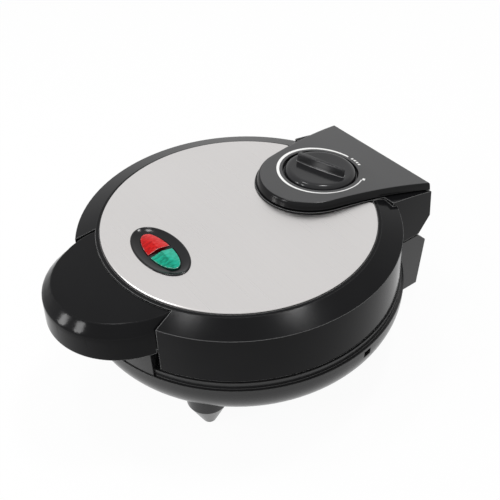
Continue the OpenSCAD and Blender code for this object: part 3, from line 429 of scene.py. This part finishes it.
# %% Pod outlines
nose_y, nose_r, pod_rear = 59.0, 34.0, 124.0
pod_foot, tail_foot, tail_draw, tail_slope = 1.6, 3.2, 0.55, 0.125
flare = math.radians(10.5)
crown_r, crown_y, crown_z = 370.0, 38.3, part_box("control_pod")[1].z / mm
dial_joint = next(j for j in frame["joints"] if j["name"] == "dial_turn")
dial_at = Vector(dial_joint["pos_m"]) / mm - Vector((0, axis_y, 0))
dial_lean = math.atan2(dial_joint["axis"][1], dial_joint["axis"][2])
dial = Matrix.Translation(dial_at) @ Matrix.Rotation(-dial_lean, 4, "X")


def crown(y):
    """The height of the pod's barrel top."""
    return crown_z - crown_r + math.sqrt(crown_r ** 2 - (y - crown_y) ** 2)


def lay_on_crown(verts, drop):
    for v in verts:
        v.co.z = crown(v.co.y) - drop


def half_width(out, y):
    """From the middle to the flared side, this far outside the pod's top edge."""
    return (nose_r + out) / math.cos(flare) + (y - nose_y) * math.tan(flare)


def nose(shape, out):
    """The half circle of the pod's nose, from the right side to the left one."""
    radius = nose_r + out
    start = (radius * math.cos(flare), nose_y - radius * math.sin(flare), 0)
    return arc(shape, start, (0, nose_y, 0), math.pi - 2 * flare, ring_steps // 2)


def pod_ring(shape, out, drop):
    """The pod's outline, this far outside its top edge and this far below the crown.

    Towards the tail the edge grows steeper, so the outlines draw together there."""
    before = set(shape.verts)
    verts = nose(shape, out)
    tail_y = pod_rear + out * tail_slope
    at_tail = half_width(tail_foot - (pod_foot - out) * tail_draw, tail_y)
    left, right = [(side * at_tail, tail_y, 0) for side in (-1, 1)]
    side_steps = ring_steps // 6
    last = line(shape, line(shape, verts[0], right, side_steps), left, side_steps)
    back = line(shape, last, verts[-1].co, side_steps)
    bmesh.ops.weld_verts(shape, targetmap={back: verts[-1]})
    verts = added(shape, before)
    lay_on_crown(verts, drop)
    return edges_of(verts)


print("dial at", [round(v, 2) for v in dial_at], "leaning", round(math.degrees(dial_lean), 2))

# %% Pod cover
pod_edge = [(pod_foot, 5.0), (pod_foot, 4.55), (1.4, 4.45), (1.3, 4.05), (1.0, 2.7), (0.55, 1.25),
            (0.1, 0.5), (-0.5, 0.13), (-1.2, 0.0), (-2.0, 0.0)]
recess_lip = [(27.2, 0.0), (26.3, 0.0), (25.85, 0.12), (25.6, 0.5)]
recess_cup = [(25.6, -2.6), (25.2, -3.0), (4.0, -3.0), (3.6, -3.3), (3.6, -5.5), (27.2, -5.5),
              (27.6, -5.1)]
pod_skin, top_cuts = 2.5, 9
pod_inside = [(-1.8, pod_skin), (-1.0, 3.4), (-0.8, 5.0)]
shape = bmesh.new()


def dial_ring(radius, height):
    """A circle about the dial's axis."""
    return ring(shape, radius, radius, dial @ Matrix.Translation((0, 0, height)))


def crown_ring(radius, drop):
    """A circle about the dial, laid on the crown."""
    edges = dial_ring(radius, 0)
    lay_on_crown(dict.fromkeys(v for e in edges for v in e.verts), drop)
    return edges


edge_rings = [pod_ring(shape, *step) for step in pod_edge]
cup_rings = [crown_ring(*step) for step in recess_lip] + [dial_ring(*step) for step in recess_cup]
cup_rings.append(crown_ring(recess_cup[-1][0], pod_skin))
inside_rings = [pod_ring(shape, *step) for step in pod_inside] + [edge_rings[0]]
loft(shape, edge_rings)
loft(shape, cup_rings)
loft(shape, inside_rings)
spans = [e for near, far in ((edge_rings[-1], cup_rings[0]), (cup_rings[-1], inside_rings[0]))
         for e in bmesh.ops.bridge_loops(shape, edges=near + far)["edges"]]
fine = bmesh.ops.subdivide_edges(shape, edges=spans, cuts=top_cuts, use_grid_fill=True)
for v in only(bmesh.types.BMVert, fine["geom_inner"]):
    lay_on_crown([v], 0.0 if v.co.z > crown(v.co.y) - pod_skin / 2 else pod_skin)
pod_cover = into_frame("pod_cover", shape, pod_black)
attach(pod_cover, "lid")
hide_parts("control_pod")

# %% [markdown]
# ## The steel panel
# The panel is a pressed sheet: a round disc with a notch for the pod, its edge rolled over so that
# it shows a bright line, and an oval hole for the lamps. We draw the outline from two arcs, round
# the two corners beside the pod with a vertex bevel, extrude the wall and inset the top in a few
# small steps for the roll. The top is filled in as a triangle net between its outline and the hole,
# and solidify gives the sheet its thickness downwards.

# %% Steel panel
notch_gap, corner_gap, corner_round, corner_steps, sheet = 2.8, 4.6, 4.0, 8, 0.8
corner_trim, rim_steps, window_lap = math.radians(4), 180, 1.2
roll = [(0.05, 0.26), (0.13, 0.19), (0.21, 0.12), (0.24, 0.06), (0.5, 0.0)]
window_low, window_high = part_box("lamp_bezel")
window_y = (window_low.y + window_high.y) / 2 / mm - axis_y
window_a = (window_high.x - window_low.x) / 2 / mm
window_b = (window_high.y - window_low.y) / 2 / mm
window_top = window_high.z / mm
window = Matrix.Translation((0, window_y, 0))

shape = bmesh.new()
lean = math.tan(flare)
at_middle = half_width(corner_gap, 0)
steep = 1 + lean ** 2
notch_y = (math.sqrt(panel_r ** 2 * steep - at_middle ** 2) - at_middle * lean) / steep
notch_x = half_width(corner_gap, notch_y)
notch_turn = math.atan2(notch_y, notch_x) - corner_trim
start = (panel_r * math.cos(notch_turn), panel_r * math.sin(notch_turn), 0)
rim = arc(shape, start, (0, 0, 0), math.pi + 2 * notch_turn, rim_steps)
inner = nose(shape, notch_gap)
right, left = [shape.verts.new((side * notch_x, notch_y, 0)) for side in (1, -1)]
for a, b in ((right, rim[0]), (rim[-1], left), (left, inner[-1]), (inner[0], right)):
    shape.edges.new((a, b))
bmesh.ops.edgeloop_fill(shape, edges=shape.edges)
bmesh.ops.bevel(shape, geom=[right, left], offset=corner_round, segments=corner_steps, profile=0.5,
                affect="VERTICES", material=-1)
bmesh.ops.translate(shape, verts=shape.verts, vec=(0, 0, panel_foot))
print("panel notch meets the rim at y", round(notch_y, 2), "mm")

# %% Roll the panel's edge and cut its window
pressed = bmesh.ops.extrude_face_region(shape, geom=shape.faces[:], use_keep_orig=False)
top = only(bmesh.types.BMFace, pressed["geom"])[0]
wall = panel_top - panel_foot - sum(rise for inset, rise in roll)
bmesh.ops.translate(shape, verts=top.verts, vec=(0, 0, wall))
for inset, rise in roll:
    bmesh.ops.inset_region(shape, faces=[top], thickness=inset, use_even_offset=True)
    bmesh.ops.translate(shape, verts=top.verts, vec=(0, 0, rise))
flat_edges = list(top.edges)
bmesh.ops.delete(shape, geom=[top], context="FACES_ONLY")
hole = ring(shape, window_a - window_lap, window_b - window_lap,
            window @ Matrix.Translation((0, 0, panel_top)))
bmesh.ops.triangle_fill(shape, edges=flat_edges + hole, use_beauty=True, normal=(0, 0, 1))
panel_sheet = into_frame("panel_sheet", shape, brushed_panel, sheet)
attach(panel_sheet, "lid")
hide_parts("steel_panel")

# %% [markdown]
# ## The handle
# The handle is a half-round moulding with a broad soft edge that a thumb rests on. CAD gives its
# walls, bosses and fits, but with plain creases. Those fits are worth keeping, so here we start
# from a copy of the CAD mesh: merge the loose triangles, dissolve flat neighbours back into whole
# faces, and bevel the creases. The edge first leans inwards, most at the front, which makes it
# broader.

# %% A copy of the handle in whole faces
loose_gap, flat_within, crease_from = 1e-6, math.radians(0.2), 0.2
shape = bmesh.new()
shape.from_mesh(nodes["handle_grip"].data)
bmesh.ops.remove_doubles(shape, verts=shape.verts, dist=loose_gap)
bmesh.ops.scale(shape, verts=shape.verts, vec=(1 / mm, 1 / mm, 1 / mm))
bmesh.ops.translate(shape, verts=shape.verts, vec=(0, -axis_y, 0))
bmesh.ops.dissolve_limit(shape, angle_limit=flat_within, verts=shape.verts, edges=shape.edges)
print("handle copy:", len(shape.faces), "whole faces")

# %% Lean and bevel the handle's edge
grip_y, knee_z, knee_r, rim_r = -84.0, 84.0, 49.5, 45.9
grip_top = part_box("handle_grip")[1].z / mm
rim_in, fade_y, fade_long = 2.6, -79.4, 25.0
same_level, beside = 0.01, 0.1
crease_wide, crease_steps, top_inset = 0.4, 2, 0.3


def reach(v):
    """The way from the handle's middle line out to a point."""
    return Vector((v.co.x, min(v.co.y - grip_y, 0.0), 0.0))


def outer(height, radius):
    """The points of the outer wall at one height."""
    return [v for v in shape.verts
            if abs(v.co.z - height) < same_level and reach(v).length > radius - beside]


def creases_among(verts):
    """The creases whose two ends are both in a set of points."""
    inside = set(verts)
    return [e for e in shape.edges
            if inside.issuperset(e.verts) and e.calc_face_angle(0.0) > crease_from]


rim, knee = outer(grip_top, rim_r), outer(knee_z, knee_r)
for v in shape.verts:
    climb = (v.co.z - knee_z) / (grip_top - knee_z)
    if climb > 0.001 and reach(v).length > knee_r - climb * (knee_r - rim_r) - beside:
        share = min(max((fade_y - v.co.y) / fade_long, 0.0), 1.0) * climb
        v.co -= reach(v).normalized() * rim_in * share
creases = creases_among(rim) + creases_among(knee)
print("handle creases:", len(creases))
bmesh.ops.bevel(shape, geom=creases, offset=crease_wide, segments=crease_steps, profile=0.5,
                affect="EDGES", clamp_overlap=True, loop_slide=True, material=-1)
top = max((f for f in shape.faces if f.normal.z > 0.999), key=lambda f: f.calc_area())
bmesh.ops.inset_region(shape, faces=[top], thickness=top_inset, use_even_offset=True)
handle_cover = into_frame("handle_cover", shape, lid_black)
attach(handle_cover, "lid")
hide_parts("handle_grip")

# %% [markdown]
# ## The lamp window
# A gloss black oval frame drops into the hole in the panel. Its rim is a small bead, inside it a
# funnel slopes down to a flat floor, and two half-oval pockets in the floor hold the lamp caps.
# The bead and the funnel are lofted rings. The floor is a triangle net with the two pocket
# outlines as holes, and the pockets are those outlines pulled down.

# %% Lamp window
cap_a, cap_b, divider = 19.8, 7.6, 3.2
floor_z, pocket_deep, seat = 92.3, 1.5, 0.6
floor_lap, wall_inset, cut_within = 0.8, 1.45, 1e-6
bead = [(0.0, panel_top), (0.0, 93.3), (0.14, 93.64), (0.45, 93.85), (0.8, window_top),
        (1.15, 93.84), (1.5, 93.6)]


def half_oval(shape, side, half_x, half_y, gap, height):
    """One side of an oval, cut off beside the divider: a flat face."""
    before = set(shape.faces)
    bmesh.ops.create_circle(shape, segments=ring_steps, radius=1.0, cap_ends=True,
                            matrix=window @ Matrix.Translation((0, 0, height))
                            @ Matrix.Diagonal((half_x, half_y, 1, 1)))
    face = next(f for f in shape.faces if f not in before)
    bmesh.ops.bisect_plane(shape, geom=[face, *face.edges, *face.verts], dist=cut_within,
                           plane_co=(side * gap, 0, 0), plane_no=(side, 0, 0), clear_inner=True)
    return next(f for f in shape.faces if f not in before)


def window_ring(inset, height):
    """A ring of the window's frame, this far inside its outline."""
    place = window @ Matrix.Translation((0, 0, height))
    return ring(shape, window_a - inset, window_b - inset, place)


shape = bmesh.new()
rings = [window_ring(*step) for step in bead]
floor_ring = ring(shape, cap_a + floor_lap, cap_b + floor_lap,
                  window @ Matrix.Translation((0, 0, floor_z)))
lower = [window_ring(wall_inset, height) for height in (panel_top, window_low.z / mm)]
loft(shape, lower[::-1] + rings + [floor_ring])
bmesh.ops.edgeloop_fill(shape, edges=lower[1])
pockets = []
for side in (-1, 1):
    face = half_oval(shape, side, cap_a + seat, cap_b + seat, divider / 2 - seat, floor_z)
    pockets += face.edges
    bmesh.ops.delete(shape, geom=[face], context="FACES_ONLY")
bmesh.ops.triangle_fill(shape, edges=floor_ring + pockets, normal=(0, 0, 1))
pulled = bmesh.ops.extrude_edge_only(shape, edges=pockets)["geom"]
bmesh.ops.translate(shape, verts=only(bmesh.types.BMVert, pulled), vec=(0, 0, -pocket_deep))
bmesh.ops.edgeloop_fill(shape, edges=[e for e in only(bmesh.types.BMEdge, pulled) if e.is_boundary])
lamp_window = into_frame("lamp_window", shape, bezel_black)
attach(lamp_window, "lid")
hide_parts("lamp_bezel")

# %% [markdown]
# ## The lamp caps
# Each cap is half an oval with a roof: two slopes meet in a ridge along the window, and a third
# falls to the round end. Start from the flat half oval, extrude it, cut it with a plane for each
# slope, close each cut, and bevel every edge a little, because a sharp edge on clear plastic never
# shows the bright line that a real one has.

# %% Lamp caps
roof_slope, hip_slope, cap_rise = math.radians(12), math.radians(5), 1.9
hip_from, cap_clear, spare = 0.45, 0.02, 1.0
hard_from, hard_above, cap_bevel = math.radians(14), 0.1, 0.3


def slope_off(shape, at, normal):
    """Cut away what lies above a plane, and close the cut."""
    cut = bmesh.ops.bisect_plane(shape, geom=shape.verts[:] + shape.edges[:] + shape.faces[:],
                                 dist=cut_within, plane_co=at, plane_no=normal, clear_outer=True)
    bmesh.ops.edgeloop_fill(shape, edges=only(bmesh.types.BMEdge, cut["geom_cut"]))


def lamp_cap(name, side, finish):
    shape = bmesh.new()
    foot = floor_z - pocket_deep + cap_clear
    ridge = floor_z + cap_rise
    face = half_oval(shape, side, cap_a, cap_b, divider / 2, foot)
    block = bmesh.ops.extrude_face_region(shape, geom=[face])["geom"]
    bmesh.ops.translate(shape, verts=only(bmesh.types.BMVert, block),
                        vec=(0, 0, ridge + spare - foot))
    for way in (-1, 1):
        roof = (0, way * math.sin(roof_slope), math.cos(roof_slope))
        slope_off(shape, (0, window_y, ridge), roof)
    hip = (side * math.sin(hip_slope), 0, math.cos(hip_slope))
    slope_off(shape, (side * cap_a * hip_from, 0, ridge), hip)
    bmesh.ops.remove_doubles(shape, verts=shape.verts, dist=weld_gap)
    bmesh.ops.recalc_face_normals(shape, faces=shape.faces)
    hard = [e for e in shape.edges if e.is_manifold and e.calc_face_angle() > hard_from
            and min(v.co.z for v in e.verts) > foot + hard_above]
    bmesh.ops.bevel(shape, geom=hard, offset=cap_bevel, segments=2, profile=0.5, affect="EDGES",
                    clamp_overlap=True, material=-1)
    cap = into_frame(name + "_cap", shape, finish)
    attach(cap, "lid")
    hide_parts(name + "_lens")


lamp_cap("red", -1, red_lens)
lamp_cap("green", 1, green_lens)

# %% [markdown]
# ## The dial's knob
# The knob is a gloss moulding: a skirt that sinks into the pod, a face that is very slightly dished
# so that it mirrors the grip, and a tapered grip bar on a small fillet. The round part is one
# profile spun about the dial's axis. The bar is a stack of rounded outlines, each a circle whose
# points are pushed out to four corners. Both ride the dial, which leans with the pod's crown.

# %% Knob
bore_r, knob_half, grip_turn = 3.1, 18.0, math.radians(18)
grip_wide, grip_narrow, grip_corner, grip_steps = 4.4, 2.6, 0.9, 32
knob_profile = [(bore_r, -2.4), (5.0, -2.4), (5.0, 0.2), (21.6, 0.2), (22.2, -0.4), (22.4, -2.4),
                (24.3, -2.4), (24.4, -2.3), (24.25, -1.3), (24.05, -0.4), (23.75, 0.3), (23.3, 0.9),
                (22.7, 1.4), (21.95, 1.77), (21.1, 1.96), (20.3, 2.0), (19.5, 1.97), (16.0, 1.8),
                (11.0, 1.65), (6.0, 1.58)]
knob_bore = [(0.0, 1.55), (0.0, 1.0), (bore_r, 1.0)]
grip_rings = [(1.0, 1.3), (0.85, 1.62), (0.5, 1.85), (0.2, 2.2), (0.05, 2.8), (-0.1, 6.3),
              (-0.25, 6.8), (-0.5, 7.1), (-0.8, 7.2)]


def grip_ring(shape, out, height):
    """A tapered bar's outline with round corners, wide at one end and narrow at the other."""
    corner = grip_corner + out
    made = bmesh.ops.create_circle(shape, segments=grip_steps, radius=corner,
                                   matrix=Matrix.Rotation(math.pi / grip_steps, 4, "Z"))["verts"]
    for v in made:
        end_x = math.copysign(knob_half - grip_corner, v.co.x)
        width = grip_narrow if v.co.x > 0 else grip_wide
        v.co += Vector((end_x, math.copysign(width / 2 - grip_corner, v.co.y), height))
    return edges_of(made)


shape = bmesh.new()
profile = [shape.verts.new((r, 0, z)) for r, z in knob_profile + knob_bore]
pairs = zip(profile, profile[1:] + profile[:1])
lines = [shape.edges.new((a, b)) for a, b in pairs if a.co.x or b.co.x]
bmesh.ops.spin(shape, geom=profile + lines, cent=(0, 0, 0), axis=(0, 0, 1), angle=math.tau,
               steps=ring_steps, use_merge=True)
bmesh.ops.remove_doubles(shape, verts=shape.verts, dist=weld_gap)
rings = [grip_ring(shape, *step) for step in grip_rings]
loft(shape, rings)
for end in (rings[0], rings[-1]):
    bmesh.ops.edgeloop_fill(shape, edges=end)
bmesh.ops.transform(shape, verts=shape.verts, matrix=dial @ Matrix.Rotation(grip_turn, 4, "Z"))
knob = into_frame("knob", shape, knob_black)
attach(knob, "dial")
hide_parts("dial_knob")

# %% [markdown]
# ## The dial's printed scale
# A white line runs round the dial and thickens to one side, with a mark where the knob is off and
# a few short marks past its end. Printing is a film of ink, so each mark is a pair of arcs bridged
# into a ribbon, laid on the crown and given a few hundredths of thickness. The two arcs have
# slightly different middles, and that alone makes the line swell.

# %% Printed scale
ink_sink, ink_thick, line_steps, mark_steps = 0.02, 0.08, 150, 4
line_from, line_sweep, off_from, off_sweep, mark_sweep = 30.0, 293.0, 35.5, 5.0, 3.4
shape = bmesh.new()


def ribbon(start, sweep, inner, outer, steps):
    """Ink between two arcs round the dial, each given as (shift to the right, radius)."""
    chains = []
    for shift, radius in (inner, outer):
        middle = Vector((shift, dial_at.y, 0))
        towards = Vector((math.cos(math.radians(start)), math.sin(math.radians(start)), 0))
        swept = arc(shape, middle + radius * towards, middle, math.radians(sweep), steps)
        chains += edges_of(swept)
    bmesh.ops.bridge_loops(shape, edges=chains)


ribbon(line_from, line_sweep, (0.35, 28.1), (-0.35, 29.6), line_steps)
ribbon(off_from, off_sweep, (0.0, 29.2), (0.0, 31.0), mark_steps)
for mark_from in (91.5, 86.0, 80.5, 75.0):
    ribbon(mark_from, mark_sweep, (0.0, 28.2), (0.0, 30.0), mark_steps)
lay_on_crown(shape.verts, ink_sink)
film = bmesh.ops.extrude_face_region(shape, geom=shape.faces[:])["geom"]
bmesh.ops.translate(shape, verts=only(bmesh.types.BMVert, film), vec=(0, 0, ink_thick))
dial_print = into_frame("dial_print", shape, scale_ink)
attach(dial_print, "lid")

# %% [markdown]
# ## Camera
# The view was worked out from the photographed circles: the crease, the panel and the dial all have
# known radii, so one camera fits them. It looks down about 40 degrees from the right front.

# %% Camera
aim = Vector((3.721, 9.171, 62.89)) * mm
turn, tilt, roll_over = math.radians(55.284), math.radians(40.169), math.radians(-2.288)
away = 0.493
stand = Vector((math.sin(turn) * math.cos(tilt), -math.cos(turn) * math.cos(tilt), math.sin(tilt)))
eye = bpy.data.cameras.new("eye")
eye.lens, eye.sensor_width, eye.clip_start = 53.09, 36.0, 0.01
camera = bpy.data.objects.new("eye", eye)
bpy.context.scene.collection.objects.link(camera)
camera.location = aim + stand * away
level = (-stand).to_track_quat("-Z", "Y").to_matrix()
camera.rotation_euler = (level @ Matrix.Rotation(roll_over, 3, "Z")).to_euler()
bpy.context.scene.camera = camera
print("camera at", [round(v, 3) for v in camera.location])

# %% [markdown]
# ## Light and backdrop
# A product picture on white: two soft lamps high up draw the two bright bands on the lid's
# shoulder, and two lower ones in front draw streaks on the handle's edge. Seen from above, the two
# high lamps would bleach the steel panel, so light linking keeps them off it: the panel shows only
# its white surroundings. The world is white for what the camera, mirrors and clear plastic see,
# and dimmer for what only lights the object.

# %% World
ambient_light, seen_light = 0.55, 1.0
world = bpy.data.worlds.new("studio")
bpy.context.scene.world = world
world.use_nodes = True
sky = world.node_tree
sky.nodes.clear()


def sky_node(kind, inputs, **settings):
    made = sky.nodes.new(kind)
    for key, value in settings.items():
        setattr(made, key, value)
    for key, value in inputs.items():
        if isinstance(value, bpy.types.NodeSocket):
            sky.links.new(value, made.inputs[key])
        else:
            made.inputs[key].default_value = value
    return made


path = sky_node("ShaderNodeLightPath", {})
seen = path.outputs["Is Camera Ray"]
for ray in ("Is Glossy Ray", "Is Transmission Ray"):
    either = sky_node("ShaderNodeMath", {0: seen, 1: path.outputs[ray]}, operation="MAXIMUM")
    seen = either.outputs[0]
ambient = sky_node("ShaderNodeBackground", {"Color": (1, 1, 1, 1), "Strength": ambient_light})
white = sky_node("ShaderNodeBackground", {"Color": (1, 1, 1, 1), "Strength": seen_light})
blend = sky_node("ShaderNodeMixShader", {0: seen, 1: ambient.outputs[0], 2: white.outputs[0]})
sky_node("ShaderNodeOutputWorld", {0: blend.outputs[0]})
print("world nodes:", len(sky.nodes))

# %% Lamps
lamps_aim = Vector((0, 0, 0.05))
unbleached = bpy.data.collections.new("unbleached")
unbleached.objects.link(panel_sheet)
unbleached.collection_objects[0].light_linking.link_state = "EXCLUDE"


def soft_lamp(name, at, wide, tall, power):
    lamp = bpy.data.lights.new(name, "AREA")
    lamp.shape, lamp.size, lamp.size_y, lamp.energy = "ELLIPSE", wide, tall, power
    obj = bpy.data.objects.new(name, lamp)
    bpy.context.scene.collection.objects.link(obj)
    obj.location = at
    obj.rotation_euler = (lamps_aim - obj.location).to_track_quat("-Z", "Y").to_euler()
    return obj


high_lamps = [soft_lamp("left_lamp", (-0.31, -0.10, 1.05), 0.19, 0.19, 2.1),
              soft_lamp("back_lamp", (-0.03, 0.32, 1.06), 0.18, 0.18, 3.5)]
for lamp in high_lamps:
    lamp.light_linking.receiver_collection = unbleached
soft_lamp("front_left_lamp", (-0.445, -0.949, 0.428), 0.15, 0.30, 2.4)
soft_lamp("front_lamp", (-0.084, -0.990, 0.570), 0.15, 0.30, 2.8)

# %% [markdown]
# ## The floor
# A pale sheet that runs out of sight. Seen by the camera, or in a mirror or clear plastic, it is
# mostly white, and the rest of its shading is left in, so the soft shadow under the cooker stays.

# %% Floor
floor_reach, floor_drop, white_share = 3.0, 0.0002, 0.95
pale = Finish("floor")
pale.set(Base_Color=(0.85, 0.85, 0.85, 1), Roughness=0.9, Specular_IOR_Level=0.0)
lit = pale.node("ShaderNodeEmission", {}, {"Color": (1, 1, 1, 1), "Strength": 1.0})
rays = [pale.node("ShaderNodeLightPath", output=ray)
        for ray in ("Is Camera Ray", "Is Glossy Ray", "Is Transmission Ray")]
seen_share = (rays[0] + rays[1] + rays[2]).capped() * white_share
both = pale.node("ShaderNodeMixShader", {}, {0: seen_share, 1: Value(pale, pale.shader.outputs[0]),
                                             2: lit})
pale.tree.links.new(both.socket, pale.tree.nodes["Material Output"].inputs["Surface"])
shape = bmesh.new()
bmesh.ops.create_grid(shape, x_segments=1, y_segments=1, size=floor_reach)
bmesh.ops.translate(shape, verts=shape.verts, vec=(0, 0, -floor_drop))
floor_mesh = bpy.data.meshes.new("floor")
shape.to_mesh(floor_mesh)
shape.free()
floor_mesh.materials.append(pale.material)
floor = bpy.data.objects.new("floor", floor_mesh)
bpy.context.scene.collection.objects.link(floor)
print("floor laid")

# %% [markdown]
# ## Done
# The view transform is set to Standard.

# %% Finish
bpy.context.scene.view_settings.view_transform = "Standard"
